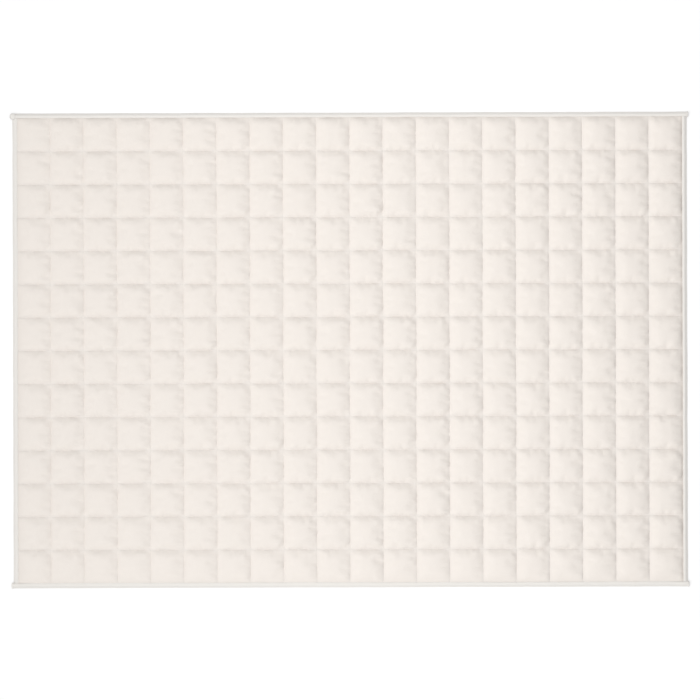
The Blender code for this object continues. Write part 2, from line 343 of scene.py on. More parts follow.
def waves(places, step, rng):
    """Smooth random swings from -1 to 1: a random value every step, eased from one to the next."""
    count = int(np.ptp(places) / step) + 3
    knots = rng.uniform(-1, 1, count)
    along = (places - places.min()) / step
    before = along.astype(int)
    share = eased(along - before)
    return knots[before] * (1 - share) + knots[before + 1] * share


def bell(reach, spread):
    """Weights of the points up to a reach to either side: exp(-(distance / spread)^2 / 2)."""
    return np.exp(-0.5 * (np.arange(-reach, reach + 1) / spread) ** 2)


def blurred_noise(rng, shape, spread):
    """Random values of unit spread, blurred over their last two axes so that neighbours agree."""
    taps = bell(BLUR_REACH, spread)
    taps /= np.sqrt((taps ** 2).sum())
    noise = rng.normal(size=shape)
    for axis in (-2, -1):
        noise = np.apply_along_axis(np.convolve, axis, noise, taps, "same")
    return noise


# ---------------------------------------------------------------- where the seams run

def seam_lines(axis, size, count):
    """Sewn lines across one direction: evenly spaced, the outermost two drawn in under the tape."""
    lines = np.linspace(SEAM_MARGIN - size / 2, size / 2 - SEAM_MARGIN, count + 1) + SEAM_SHIFT[axis]
    lines[0] = FLAT_EDGES[axis][0] - size / 2
    lines[-1] = size / 2 - FLAT_EDGES[axis][1]
    return lines


SEAMS_X = seam_lines("X", LENGTH, COLUMNS)
SEAMS_Y = seam_lines("Y", WIDTH, ROWS)


def edge_lift(position, seams):
    """0 over the inner pockets, rising evenly across the outermost pocket to 1 at the bound edge."""
    return np.interp(np.abs(position), (seams[-2], seams[-1]), (0.0, 1.0))


def corner_lift(position, seams):
    """The same, but only close to the bound edge, where a corner is wrapped twice."""
    return edge_lift(position, seams) ** CORNER_POWER


def lift(x, y):
    """How far the flat edge is raised where an end strip wraps a side strip, none elsewhere."""
    return CORNER_LIFT * corner_lift(x, SEAMS_X) * corner_lift(y, SEAMS_Y)


def wander(axis, x, y):
    """Slow drift along one direction: SEAM_WANDER * sin(a x + b y + phase)."""
    by_x, by_y, phase = WANDER_WAVES[axis]
    return SEAM_WANDER * np.sin(by_x * x + by_y * y + phase)


def wobble(along, across):
    """Quick swings along a seam that differ from seam to seam: SEAM_WOBBLE times the sum of
    share * sin(a along + b across + phase) over three waves of unequal length."""
    swings = [share * np.sin(a * along + b * across + phase) for share, a, b, phase in WOBBLE_WAVES]
    return SEAM_WOBBLE * sum(swings)


def stray(x, y):
    """Where a point of a straight sewn line really lies: moved by slow and quick waves, times
    (1 - (2 x / LENGTH)^2) * (1 - (2 y / WIDTH)^2), so that they die out at the bound edge."""
    inside = (1 - (2 * x / LENGTH) ** 2) * (1 - (2 * y / WIDTH) ** 2)
    across = wander("X", x, y) + wobble(y, x)
    along = wander("Y", x, y) + LENGTHWISE_WOBBLE * wobble(x, y)
    return x + inside * across, y + inside * along


def base_height(x, y):
    """Height that the pockets rise from: the sewn lines', sloping to the flat edge's at the rim."""
    toward_edge = np.maximum(edge_lift(x, SEAMS_X), edge_lift(y, SEAMS_Y))
    edge_top = EDGE_MIDDLE + EDGE_CLOTH / 2 + lift(x, y)
    return CHANNEL_TOP + (edge_top - CHANNEL_TOP) * toward_edge


def swell(share):
    """Rise of a pocket across one direction: (1 - |2 * share - 1|^p)^q."""
    return (1 - np.abs(2 * share - 1) ** SWELL_POWERS[0]) ** SWELL_POWERS[1]


# ---------------------------------------------------------------- quilted panel

def fine_lines(seams):
    """Every line of the upper cloth's grid: even steps across each pocket but narrow at a seam."""
    steps = np.append(0.0, np.linspace(SEAM_QUAD, 1 - SEAM_QUAD, POCKET_QUADS - 1))
    inner = seams[:-1, None] + steps * np.diff(seams)[:, None]
    return np.append(inner.ravel(), seams[-1])


def pocket_share(lines, seams):
    """How far across its pocket each line is, from 0 at a seam up to 1 at the next."""
    share = np.interp(lines, seams, np.arange(len(seams))) % 1
    share[::POCKET_QUADS] = 0.0
    return share


def settle_cloth(cut, start, held, firmness):
    """Blender's cloth over all pockets at once: each is cut larger than its seams enclose, its rim
    is drawn in to them, and the fill's pressure lifts it, so that it crowns and gathers.
    cut and start are (pockets, n, n, 3) arrays, held and firmness (pockets, n, n)."""
    numbers = np.arange(held.size).reshape(held.shape)
    sheet = link("loose cloth", mesh_from("loose cloth", cut, [grid_faces(numbers)]))
    sheet.shape_key_add(name="as cut")
    drawn_in = sheet.shape_key_add(name="drawn in")
    drawn_in.data.foreach_set("co", start.ravel())
    for value, number in ((0.0, 1), (1.0, SEW_FRAMES)):
        drawn_in.value = value
        drawn_in.keyframe_insert("value", frame=number)
    sewn = sheet.vertex_groups.new(name="sewn")
    sewn.add(numbers[held].tolist(), 1.0, "REPLACE")
    filled = sheet.vertex_groups.new(name="filled")
    for level in np.unique(firmness):
        filled.add(numbers[firmness == level].tolist(), float(level), "REPLACE")

    modifier = sheet.modifiers.new("cloth", "CLOTH")
    modifier.collision_settings.use_collision = False
    modifier.point_cache.frame_end = SETTLE_FRAMES
    cloth = modifier.settings
    cloth.quality = 4
    cloth.mass = 0.1
    cloth.tension_stiffness = 15
    cloth.compression_stiffness = 15
    cloth.shear_stiffness = 5
    cloth.bending_stiffness = 10
    cloth.vertex_group_mass = "sewn"
    cloth.vertex_group_pressure = "filled"
    cloth.use_pressure = True
    cloth.uniform_pressure_force = FILL_PRESSURE
    cloth.effector_weights.gravity = 0.0
    for number in range(1, SETTLE_FRAMES + 1):
        SCENE.frame_set(number)
    settled = sheet.evaluated_get(bpy.context.evaluated_depsgraph_get()).to_mesh()
    points = np.empty(held.size * 3)
    settled.vertices.foreach_get("co", points)
    bpy.data.objects.remove(sheet)
    for action in list(bpy.data.actions):
        bpy.data.actions.remove(action)
    SCENE.frame_set(1)
    return points.reshape(start.shape)


def by_pocket(grid):
    """Cut a grid over the whole cloth into one (n, n) block a pocket, rims repeated."""
    rows = POCKET_QUADS * np.arange(COLUMNS)[:, None] + np.arange(POCKET_QUADS + 1)
    columns = POCKET_QUADS * np.arange(ROWS)[:, None] + np.arange(POCKET_QUADS + 1)
    blocks = grid[rows[:, None, :, None], columns[None, :, None, :]]
    return blocks.reshape(COLUMNS * ROWS, POCKET_QUADS + 1, POCKET_QUADS + 1)


def whole_grid(blocks):
    """The opposite of by_pocket: blocks side by side in one grid again."""
    full = np.empty((COLUMNS * POCKET_QUADS + 1, ROWS * POCKET_QUADS + 1))
    square = blocks.reshape(COLUMNS, ROWS, POCKET_QUADS + 1, POCKET_QUADS + 1)
    for i in range(POCKET_QUADS + 1):
        for j in range(POCKET_QUADS + 1):
            full[i::POCKET_QUADS, j::POCKET_QUADS][:COLUMNS, :ROWS] = square[:, :, i, j]
    full[-1, :-1] = square[-1, :, -1, :-1].ravel()
    full[:-1, -1] = square[:, -1, :-1, -1].ravel()
    full[-1, -1] = square[-1, -1, -1, -1]
    return full


def puckered(height, x, y, rng):
    """Height of the cloth over its sewn lines with the gathers that are too fine to simulate.

    A corner holds the cloth down, flat up to a rounded foot: height * (1 - hold * exp(-(r / reach)^6))
    with r the distance from it. A side adds waves along the seam, highest a little way in:
    rise * wave * s * exp(1 - s), with s the distance from the seam over the waves' reach. They are
    noise, and swags cos(2 pi SWAGS v) for v from -1/2 to 1/2 along the side. Along the blanket's
    left and near edge it all rises gently, height * (1 - exp(-distance / RIM_EASE)), but from a
    step: rise * (1 - exp(-distance / reach)) * exp(-(distance / RIM_EASE)^2). Beside the thread
    the cloth rises sharply: PINCH * (1 - exp(-distance / PINCH_REACH))."""
    pockets, count = height.shape[:2]
    left = x - x[:, :1]
    right = x[:, -1:] - x
    near = y - y[:, :, :1]
    far = y[:, :, -1:] - y
    corners = ((left, near), (left, far), (right, near), (right, far))
    for reach, (side, end) in zip(CORNER_REACHES, corners):
        hold = rng.uniform(*CORNER_HOLD, (pockets, 1, 1))
        reach = reach * rng.uniform(*CORNER_SPREAD, (pockets, 1, 1))
        height = height * (1 - hold * np.exp(-((side ** 2 + end ** 2) / reach ** 2) ** 3))
    height = height * (1 - FAR_EASE[0] * np.exp(-(far / FAR_EASE[1]) ** 2))
    for edge, ease in ((x - SEAMS_X[0], RIM_EASE["X"]), (y - SEAMS_Y[0], RIM_EASE["Y"])):
        step = RIM_STEP[0] * (1 - np.exp(-edge / RIM_STEP[1])) * np.exp(-(edge / ease) ** 2)
        height = height * (1 - np.exp(-edge / ease)) + step
    room = np.clip(height / POCKET_RISE * PUCKER_ROOM, 0, 1)
    sides = zip(PUCKER_RISE, SWAG_RISE, (left, right, near, far), (1, 1, 2, 2))
    for pucker_rise, swag_rise, distance, axis in sides:
        shift = rng.uniform(-SWAG_SHIFT, SWAG_SHIFT, (pockets, 1))
        turn = 2 * pi * (SWAGS * np.linspace(-0.5, 0.5, count) + shift)
        swags = swag_rise * rng.uniform(*SWAG_SPREAD, (pockets, 1)) * np.cos(turn)
        noise = blurred_noise(rng, (pockets, 2 * BLUR_REACH + 1, count), PUCKER_BLUR)
        puckers = pucker_rise * noise[:, BLUR_REACH]
        for waves_along, reach in ((puckers, PUCKER_REACH), (swags, SWAG_REACH)):
            away = distance / reach
            height = height + np.expand_dims(waves_along, axis) * away * np.exp(1 - away) * room
    nearest = np.minimum(np.minimum(left, right), np.minimum(near, far))
    return np.maximum(height, 0.0) + PINCH * (1 - np.exp(-nearest / PINCH_REACH))


def calmed(height, left):
    """The settled height drawn smooth along Y near the left side: there it keeps the mean pocket's
    shape, times its own ratio to that shape, blurred over a few points."""
    mean = height.mean(0, keepdims=True) + CALM_LEAST
    taps = bell(CALM_BLUR_REACH, CALM_BLUR)
    padded = np.pad(height / mean, ((0, 0), (0, 0), (CALM_BLUR_REACH, CALM_BLUR_REACH)), mode="edge")
    ratio = np.apply_along_axis(np.convolve, -1, padded, taps / taps.sum(), "valid")
    share = np.exp(-(left / CALM_REACH) ** 2)
    return height * (1 - share) + ratio * (mean - CALM_LEAST) * share


def upper_cloth():
    """The upper cloth between the outermost lines, as a grid of points: settled by the simulation,
    then laid flatter on top, by the share of a crown's height that is left above each point."""
    plan_x, plan_y = np.meshgrid(fine_lines(SEAMS_X), fine_lines(SEAMS_Y), indexing="ij")
    share_x, share_y = np.meshgrid(pocket_share(plan_x[:, 0], SEAMS_X), pocket_share(plan_y[0], SEAMS_Y),
                                   indexing="ij")
    on_seam = (share_x == 0) | (share_y == 0)
    rise = np.where(on_seam, 0.0, swell(share_x) * swell(share_y))
    base = base_height(plan_x, plan_y)
    x, y = stray(plan_x, plan_y)
    rim = np.zeros_like(on_seam)
    rim[[0, -1], :] = True
    rim[:, [0, -1]] = True
    x = np.where(rim, plan_x, x)
    y = np.where(rim, plan_y, y)

    rng = np.random.default_rng(QUILT_SEED)
    x, y, rise, base, held, plan_x, plan_y = (
        by_pocket(grid) for grid in (x, y, rise, base, on_seam.astype(float), plan_x, plan_y))
    held = held > 0
    pockets = (len(x), 1, 1)
    firmness = np.ones_like(x) * rng.uniform(*FIRMNESS, pockets).round(2)
    extra = 1 + EXTRA_SPREAD * rng.uniform(-1, 1, pockets)
    fill = 1 + FILL_SPREAD * rng.uniform(-1, 1, pockets)
    ruffle = np.where(held, 0.0, RUFFLE * blurred_noise(rng, x.shape, RUFFLE_BLUR))

    height = base + START_RISE * rise + ruffle
    middle_x = x.mean((1, 2), keepdims=True)
    middle_y = y.mean((1, 2), keepdims=True)
    start = np.stack([x, y, height], -1)
    cut = np.stack([middle_x + (x - middle_x) * (1 + EXTRA_LENGTH * extra),
                    middle_y + (y - middle_y) * (1 + EXTRA_WIDTH * extra), height], -1)
    settled = settle_cloth(cut, start, held, firmness)

    risen = settled[..., 2] - base
    crown = np.percentile(risen, CROWN_PERCENT, axis=(1, 2), keepdims=True)
    share = np.minimum(risen / crown, 1.0)
    laid = (POCKET_RISE - PINCH) * fill * (1 - (1 - share) ** CROWN_FLATNESS)
    laid = puckered(calmed(laid, plan_x - plan_x[:, :1]), plan_x, plan_y, rng)
    settled[..., 2] = base + np.where(held, 0.0, laid)
    return np.stack([whole_grid(settled[..., axis]) for axis in range(3)], -1)


def groove_shade_share(x, y):
    """How much painted shade the quilting has in its seam grooves: along every sewn line but the outermost
    GROOVE_SHADE_SHARES * (1 + GROOVE_SHADE_RIGHTWARD * 2 x / LENGTH) * exp(-(distance /
    GROOVE_SHADE_REACH)^2)."""
    share = np.zeros_like(x)
    for axis, place, seams in (("X", x, SEAMS_X), ("Y", y, SEAMS_Y)):
        between = np.abs(place[..., None] - seams[1:-1]).min(-1)
        most = GROOVE_SHADE_SHARES[axis] * (1 + GROOVE_SHADE_RIGHTWARD[axis] * 2 * x / LENGTH)
        share = np.maximum(share, most * np.exp(-(between / GROOVE_SHADE_REACH) ** 2))
    return share


def rim_shade_share(x, y):
    """How much painted shade it has beside the tape: along each outermost line
    rim * exp(-(distance / RIM_SHADE_REACH)^2) + valley * exp(-(distance / VALLEY_SHADOW_REACH)^2)."""
    share = np.zeros_like(x)
    for axis, place, seams in (("X", x, SEAMS_X), ("Y", y, SEAMS_Y)):
        for end in (0, 1):
            away = np.abs(place - seams[-end])
            rim = RIM_SHADE_SHARES[axis][end] * np.exp(-(away / RIM_SHADE_REACH) ** 2)
            valley = VALLEY_SHADOW_SHARES[axis][end] * np.exp(-(away / VALLEY_SHADOW_REACH) ** 2)
            share = np.maximum(share, rim + valley)
    return share


def lower_cloth(plan_x, plan_y, keep_x, keep_y, rim):
    """The lower cloth as a coarser grid of points: on the floor within each pocket, raised to
    CHANNEL_BOTTOM along the sewn lines and to the flat edge at the rim."""
    under = np.stack([plan_x, plan_y, EDGE_MIDDLE - EDGE_CLOTH + rim], -1)
    under = under[np.ix_(keep_x, keep_y)]
    inner = under[1:-1, 1:-1]
    sewn = ((np.arange(inner.shape[0]) % len(UNDER_QUADS) == 0)[:, None]
            | (np.arange(inner.shape[1]) % len(UNDER_QUADS) == 0)[None, :])
    inside = np.zeros_like(sewn)
    inside[1:-1, 1:-1] = True
    inner[..., 2] = np.where(inside & sewn, CHANNEL_BOTTOM, np.where(inside, 0.0, inner[..., 2]))
    stray_x, stray_y = stray(inner[..., 0], inner[..., 1])
    inner[..., 0] = np.where(inside, stray_x, inner[..., 0])
    inner[..., 1] = np.where(inside, stray_y, inner[..., 1])
    return under


def rim_walls(top_numbers, under_numbers, keep_x, keep_y):
    """The wall between the two cut edges: one face for each step of the lower cloth's edge, with
    every point of the upper cloth's edge that lies above that step."""
    full_x = [k % top_numbers.shape[0] for k in keep_x]
    full_y = [k % top_numbers.shape[1] for k in keep_y]
    walls = []
    for marks, above, below, flip in (
        (full_x, top_numbers[:, 0], under_numbers[:, 0], False),
        (full_y, top_numbers[-1, :], under_numbers[-1, :], False),
        (full_x, top_numbers[:, -1], under_numbers[:, -1], True),
        (full_y, top_numbers[0, :], under_numbers[0, :], True),
    ):
        for k, (first, last) in enumerate(zip(marks, marks[1:])):
            wall = [below[k], below[k + 1], *above[first:last + 1][::-1]]
            walls.append([wall[::-1] if flip else wall])
    return walls


def panel():
    """The quilted panel as one closed piece: the settled upper cloth, its flat edge, a lower
    cloth with a foot on the floor in each pocket, and a wall between their cut edges."""
    upper = upper_cloth()
    lines_x = np.concatenate([[CUT_EDGE - LENGTH / 2], fine_lines(SEAMS_X), [LENGTH / 2 - CUT_EDGE]])
    lines_y = np.concatenate([[CUT_EDGE - WIDTH / 2], fine_lines(SEAMS_Y), [WIDTH / 2 - CUT_EDGE]])
    plan_x, plan_y = np.meshgrid(lines_x, lines_y, indexing="ij")
    rim = EDGE_CLOTH / 2 + lift(plan_x, plan_y)
    top = np.stack([plan_x, plan_y, EDGE_MIDDLE + rim], -1)
    top[1:-1, 1:-1] = upper

    # The lower cloth keeps the cut edges, the sewn lines and a few lines between them
    keep_x, keep_y = (
        [0] + [1 + POCKET_QUADS * k + q for k in range(count) for q in UNDER_QUADS] + [-2, -1]
        for count in (COLUMNS, ROWS))
    under = lower_cloth(plan_x, plan_y, keep_x, keep_y, rim)
    top_numbers = np.arange(top[..., 0].size).reshape(top.shape[:2])
    under_numbers = top_numbers.size + np.arange(under[..., 0].size).reshape(under.shape[:2])
    walls = rim_walls(top_numbers, under_numbers, keep_x, keep_y)
    faces = [grid_faces(top_numbers), grid_faces(under_numbers)[:, ::-1], *walls]
    points = np.concatenate([top.reshape(-1, 3), under.reshape(-1, 3)])
    mesh = mesh_from("quilted_panel", points, faces)

    on_x = np.isin(np.arange(top.shape[0]), 1 + POCKET_QUADS * np.arange(COLUMNS + 1))
    on_y = np.isin(np.arange(top.shape[1]), 1 + POCKET_QUADS * np.arange(ROWS + 1))
    sewn = np.zeros(len(points), bool)
    sewn[:top_numbers.size] = (on_x[:, None] | on_y[None, :]).ravel()
    crease_edges(mesh, sewn)
    plan = np.concatenate([np.stack([plan_x, plan_y], -1).reshape(-1, 2), under[..., :2].reshape(-1, 2)])
    # Painted shade in the seam grooves, kept a point for the material
    record_share(mesh, "groove_shade", groove_shade_share(plan[:, 0], plan[:, 1]))
    # Painted shade beside the tape, with a painted shadow line along it
    record_share(mesh, "rim", rim_shade_share(plan[:, 0], plan[:, 1]))
    return link("quilted_panel", mesh)


# ---------------------------------------------------------------- folded tape

class Strip:
    """One strip of folded tape: sections across it, carried along it.

    A point of a section is (depth in from the blanket's edge, height). The upper layer is a soft
    roll at the fold, a low crown, a dip at the stitches and a rounded lip, with small crinkles."""

    def __init__(self, name, stop, seams, corner_height, seed):
        self.name = name
        self.tape = tape = TAPES[name]
        self.along = np.linspace(-stop, stop, int(2 * stop / STATION) + 1)
        rng = np.random.default_rng(seed)

        def swings(measure):
            """Random swings of one of the tape's measures along the strip."""
            amount, length = TAPE_SWINGS[measure]
            return amount * waves(self.along, length, rng)

        rise = corner_lift(self.along, seams)
        self.height = 2 * TAPE + SLOT_HEIGHT + corner_height * rise
        self.roll = tape["roll"] * (1 + swings("roll") * (1 - rise))
        self.crown = tape["crown"] * (1 - CORNER_CROWN * rise) * (1 + swings("crown"))
        self.dip = tape["dip"] * (1 + swings("dip"))
        self.edge = tape["inset"] + swings("edge") * (1 - rise)
        self.face = tape["face"] * (1 + (swings("face") + swings("lip")))
        self.sewn = tape["face"] - STITCH_INSET
        # painted shade along the fold, less where an end strip wraps a corner
        self.fold = tape["fold"][0] * (1 - CORNER_SHADE_FADE * rise * (corner_height > 0))
        self.slant = self.along / CRINKLE_PITCH + swings("slant")
        self.ridge = CRINKLE_RISE * (1 + swings("ridge"))

    def top(self, depth):
        """Height of the upper layer at depths in from the outer edge, (stations, points).

        It rises from the outermost point to the tape's height and crown by
        (1 - (1 - depth / roll)^p)^q, falls past the roll's end by (crown + LIP_FALL) * past^fall, is
        pulled in by dip * exp(-((depth - sewn) / DIP_REACH)^2), and carries slanting crinkles."""
        along = (self.height, self.roll, self.crown, self.dip, self.slant, self.ridge)
        height, roll, crown, dip, slant, ridge = (value[:, None] for value in along)
        risen = (1 - (1 - np.clip(depth / roll, 0, 1)) ** ROLL_POWERS[0]) ** ROLL_POWERS[1]
        past = np.clip((depth - roll) / (self.sewn + STITCH_INSET - roll), 0, 1)
        pull = dip * np.exp(-((depth - self.sewn) / DIP_REACH) ** 2)
        crinkles = ridge * np.sin(2 * pi * (slant + CRINKLE_SLANT * depth)) * risen
        outermost = self.tape["start"] * height
        fallen = (crown + LIP_FALL) * past ** self.tape["fall"]
        return outermost + (height - outermost + crown) * risen - fallen - pull + crinkles

    def section(self):
        """Closed rings of points, (stations, points, 2): under side, roll, upper side, slot. The
        roll's under side is a quarter of an ellipse, and the lip is rounded off by a power."""
        height = self.height[:, None]
        face = self.face[:, None]
        one = np.ones_like(height)
        turn = np.linspace(-pi / 2, 0, ROLL_POINTS)
        under_depth = ROLL_UNDER * (1 - np.cos(turn)) * one
        under_height = self.tape["start"] * height * (1 + np.sin(turn))
        upper_depth = np.linspace(0, 1, FACE_POINTS)[1:] ** FACE_SPACING * face
        lip_width, lip_power, lip_edge = self.tape["lip"]
        to_lip = np.clip((upper_depth - face) / lip_width + 1, 0, 1)
        upper_height = self.top(upper_depth) - (TAPE - LIP_FALL - lip_edge) * to_lip ** lip_power
        floor_depth = np.linspace(1, 0, FLOOR_POINTS)[:-1] * (face - ROLL_UNDER) + ROLL_UNDER
        slot_top = height - TAPE
        mouth = face - MOUTH_INSET
        inner = FOLD_CLOTH * one
        middle = SLOT_MIDDLE * one
        slot_depth = np.hstack([mouth, middle, inner, inner, middle, mouth])
        slot_height = np.hstack([slot_top, slot_top, slot_top, TAPE * one, TAPE * one, TAPE * one])
        depth = np.hstack([floor_depth, under_depth, upper_depth, slot_depth])
        level = np.hstack([np.zeros_like(floor_depth), under_height, upper_height, slot_height])
        return np.stack([depth + self.edge[:, None], level], -1)

    def fold_shade_share(self, depth):
        """How much painted shade the tape has along its fold: a line along it, share * exp(-(off /
        reach)^2).
        """
        off = depth - self.edge[:, None] - self.tape["fold"][1]
        return self.fold[:, None] * np.exp(-(off / self.tape["fold"][2]) ** 2)

    def stitch_places(self):
        """Where each stitch of the binding sits on the upper layer: along the strip, depth, height."""
        places = np.arange(self.along[0] + BINDING_PITCH, self.along[-1], BINDING_PITCH)
        heights = self.top(np.full((len(self.along), 1), self.sewn))[:, 0]
        depth = self.sewn + np.interp(places, self.along, self.edge)
        return places, depth, np.interp(places, self.along, heights)


def strip_piece(strip, place, ears):
    """The strip's rings as one closed tube with both ends capped, and any ears with it."""
    rings = strip.section()
    stations, count = rings.shape[:2]
    numbers = np.arange(stations * count).reshape(stations, count)
    points = [place(strip.along[:, None] + 0 * rings[..., 0], rings[..., 0], rings[..., 1]).reshape(-1, 3)]
    shares = [strip.fold_shade_share(rings[..., 0]).ravel()]
    faces = [ring_faces(numbers), numbers[:1, ::-1], numbers[-1:]]
    used = numbers.size
    # each ear brings its painted shade
    for shell, painted_shade in ears:
        shares.append(painted_shade.ravel())
        around = used + np.arange(shell[..., 0].size).reshape(shell.shape[:2])
        points.append(place(shell[..., 0], shell[..., 1], shell[..., 2]).reshape(-1, 3))
        faces += [ring_faces(around), around[:1, ::-1], around[-1:]]
        used += around.size
    mesh = mesh_from(strip.name, np.concatenate(points), faces)
    recalculate(mesh)
    # Painted shade along the tape's fold and round the ears, kept a point for the material
    record_share(mesh, "fold", np.concatenate(shares))
    return link(strip.name, mesh)


def recalculate(mesh):
    """Turn every closed shell of the mesh to face outwards."""
    shape = bmesh.new()
    shape.from_mesh(mesh)
    bmesh.ops.recalc_face_normals(shape, faces=shape.faces)
    shape.to_mesh(mesh)
    shape.free()


def ball_ear(out, side):
    """Width and thickness along an ear that is a ball, which swells and rounds off evenly,
    (1 - |2 * out - 1|^p)^(1 / p), and so leaves a crease where it meets the strip; and how near
    its rim each point is, from 0 to 1."""
    swollen = (1 - np.abs(2 * out - 1) ** BALL_POWER) ** (1 / BALL_POWER)
    endwise = np.abs(2 * out - 1) * np.where(out < 0.5, BALL_SHADE_ROOT, 1.0)
    width, height = (np.maximum(swollen, least) for least in BALL_LEAST)
    return width, height, np.hypot(endwise[:, None], side)


def stub_ear(out, side):
    """The same for a stub, nearly as wide as the strip all along and rounded only at its tip:
    (1 - lost at the root * (1 - start)) * (1 - lost at the tip * tip^power)."""
    start = eased(np.clip(out / STUB_ROOT, 0, 1))
    tip = np.clip((out - STUB_TIP) / (1 - STUB_TIP), 0, 1)
    width, height = (
        (1 - at_root + at_root * start) * (1 - at_tip * tip ** power)
        for at_root, at_tip, power in STUB_LOSSES)
    return width, height, np.maximum(out[:, None], width[:, None] / width.max() * side)


def ear_shell(name, end):
    """The puffed, tucked-in end of an end strip as rings of (along, depth, height), and how much
    painted shade each point has.

    A ring is a soft rectangle of radius (|cos|^p + |sin|^p)^(-1 / p), with three slow and seven
    quick lumps round it that swing along the ear. Its width and thickness swell out of the strip
    and round off at the tip, and the last rings go back inside, which leaves the mouth of the
    fold as a slit."""
    reach, root, face, puff, painted_shade, kind = EARS[name, end]
    mouth = len(EAR_MOUTH["out"])
    out = np.concatenate([np.linspace(0, 1, EAR_RINGS), EAR_MOUTH["out"]])
    turn = np.linspace(0, 2 * pi, EAR_POINTS, endpoint=False)
    wide, tall, near_rim = {"ball": ball_ear, "stub": stub_ear}[kind](out, np.abs(np.cos(turn)))
    thickness = SLOT_HEIGHT + 2 * CORNER_LIFT + 2 * TAPE + puff
    width = face * wide
    height = thickness * tall
    width[-mouth:] *= EAR_MOUTH["width"]
    height[-mouth:] *= EAR_MOUTH["height"]

    corner = (np.abs(np.cos(turn)) ** EAR_POWER + np.abs(np.sin(turn)) ** EAR_POWER) ** (-1 / EAR_POWER)
    slow = np.sin(3 * turn + 2.0 * end)[None, :] * np.sin(7.0 * out + 1.0)[:, None]
    quick = np.sin(7 * turn)[None, :] * np.cos(11.0 * out)[:, None]
    radius = corner * (1 + (EAR_LUMPS[0] * slow + EAR_LUMPS[1] * quick))
    depth = face / 2 - EAR_OUTSET + width[:, None] / 2 * radius * np.cos(turn)
    level = np.maximum(thickness / 2 + height[:, None] / 2 * radius * np.sin(turn), 0.0)
    along = (end * (LENGTH / 2 - root + out * (root + reach)))[:, None] + 0 * depth
    # painted shade round the ear's rim
    ear_shade = painted_shade * np.clip((near_rim - EAR_SHADE_SPAN[0]) / EAR_SHADE_SPAN[1], 0, 1)
    return np.stack([along, depth, level], -1), ear_shade


def side_place(side, strip):
    """Puts a side strip's point in the world: it runs along Y at one end of the length, raised at
    its own ends, where an end strip's under side passes below it."""
    raised = CORNER_LIFT * corner_lift(strip.along, SEAMS_Y)

    def place(along, depth, height):
        level = height + np.interp(along, strip.along, raised)
        return np.stack([side * (LENGTH / 2 - depth), along, level], -1)
    return place


def end_place(side):
    """Puts an end strip's point in the world: it runs along X at one edge of the width."""
    return lambda along, depth, height: np.stack([along, side * (WIDTH / 2 - depth), height], -1)


# ---------------------------------------------------------------- sewing thread

def stitch_shapes(centres, along, up, pitch, full):
    """Points and faces of stitches: each a short thread that bulges in the middle and dives at its
    ends. centres (n, 3), along (n, 3) unit vectors, up 1 or -1 for the face of the cloth. A full
    stitch is thick over its waist, and the other kind is thick only at its middle."""
    radius = THREAD / 2
    bands = (-STITCH_WAIST, STITCH_WAIST) if full else (0.0,)
    ring = [(share, *side) for share in bands for side in ((1, 0), (0, 1), (-1, 0), (0, -1))]
    template = np.array([(-0.5, 0, -STITCH_DIVE), *ring, (0.5, 0, -STITCH_DIVE)], float)
    last = len(template) - 1
    sides = [(k, (k + 1) % 4) for k in range(4)]
    ends = np.array([[0, 1 + after, 1 + k] for k, after in sides]
                    + [[last, last - 4 + k, last - 4 + after] for k, after in sides])
    above = np.array([0.0, 0.0, up])
    across = np.cross(above, along)
    points = (centres[:, None] + template[None, :, :1] * (pitch * STITCH_SHARE) * along[:, None]
              + template[None, :, 1:2] * radius * across[:, None]
              + template[None, :, 2:] * radius * above)
    first = len(template) * np.arange(len(centres))[:, None, None]
    faces = [(ends + first).reshape(-1, 3)]
    if full:
        waist = np.array([[1 + k, 1 + after, 5 + after, 5 + k] for k, after in sides])
        faces.append((waist + first).reshape(-1, 4))
    return points.reshape(-1, 3), faces


def quilting_stitches(name, height, up, full):
    """The thread in every sewn line but the outermost, on one face of the blanket."""
    centres = []
    directions = []
    for run, seams, crossed in ((1, SEAMS_X, SEAMS_Y), (0, SEAMS_Y, SEAMS_X)):
        places = np.arange(crossed[0] + QUILTING_PITCH, crossed[-1], QUILTING_PITCH)
        line = np.empty((len(seams) - 2, len(places), 2))
        line[..., run] = places
        line[..., 1 - run] = seams[1:-1, None]
        centres.append(line.reshape(-1, 2))
        directions.append(np.tile(np.eye(3)[run], (len(centres[-1]), 1)))
    flat = np.concatenate(centres)
    x, y = stray(flat[:, 0], flat[:, 1])
    z = height + (base_height(flat[:, 0], flat[:, 1]) - CHANNEL_TOP) + up * QUILTING_LIFT * THREAD
    points, faces = stitch_shapes(np.stack([x, y, z], -1), np.concatenate(directions), up,
                                  QUILTING_PITCH, full)
    return link(name, mesh_from(name, points, faces))


def binding_stitches(rows):
    """The thread that holds the binding, as one piece of a row of stitches for each strip."""
    starts = np.cumsum([0] + [len(points) for points, _ in rows])
    faces = [block + start for start, (_, blocks) in zip(starts, rows) for block in blocks]
    points = np.concatenate([points for points, _ in rows])
    return link("binding_stitches", mesh_from("binding_stitches", points, faces))


# ---------------------------------------------------------------- materials

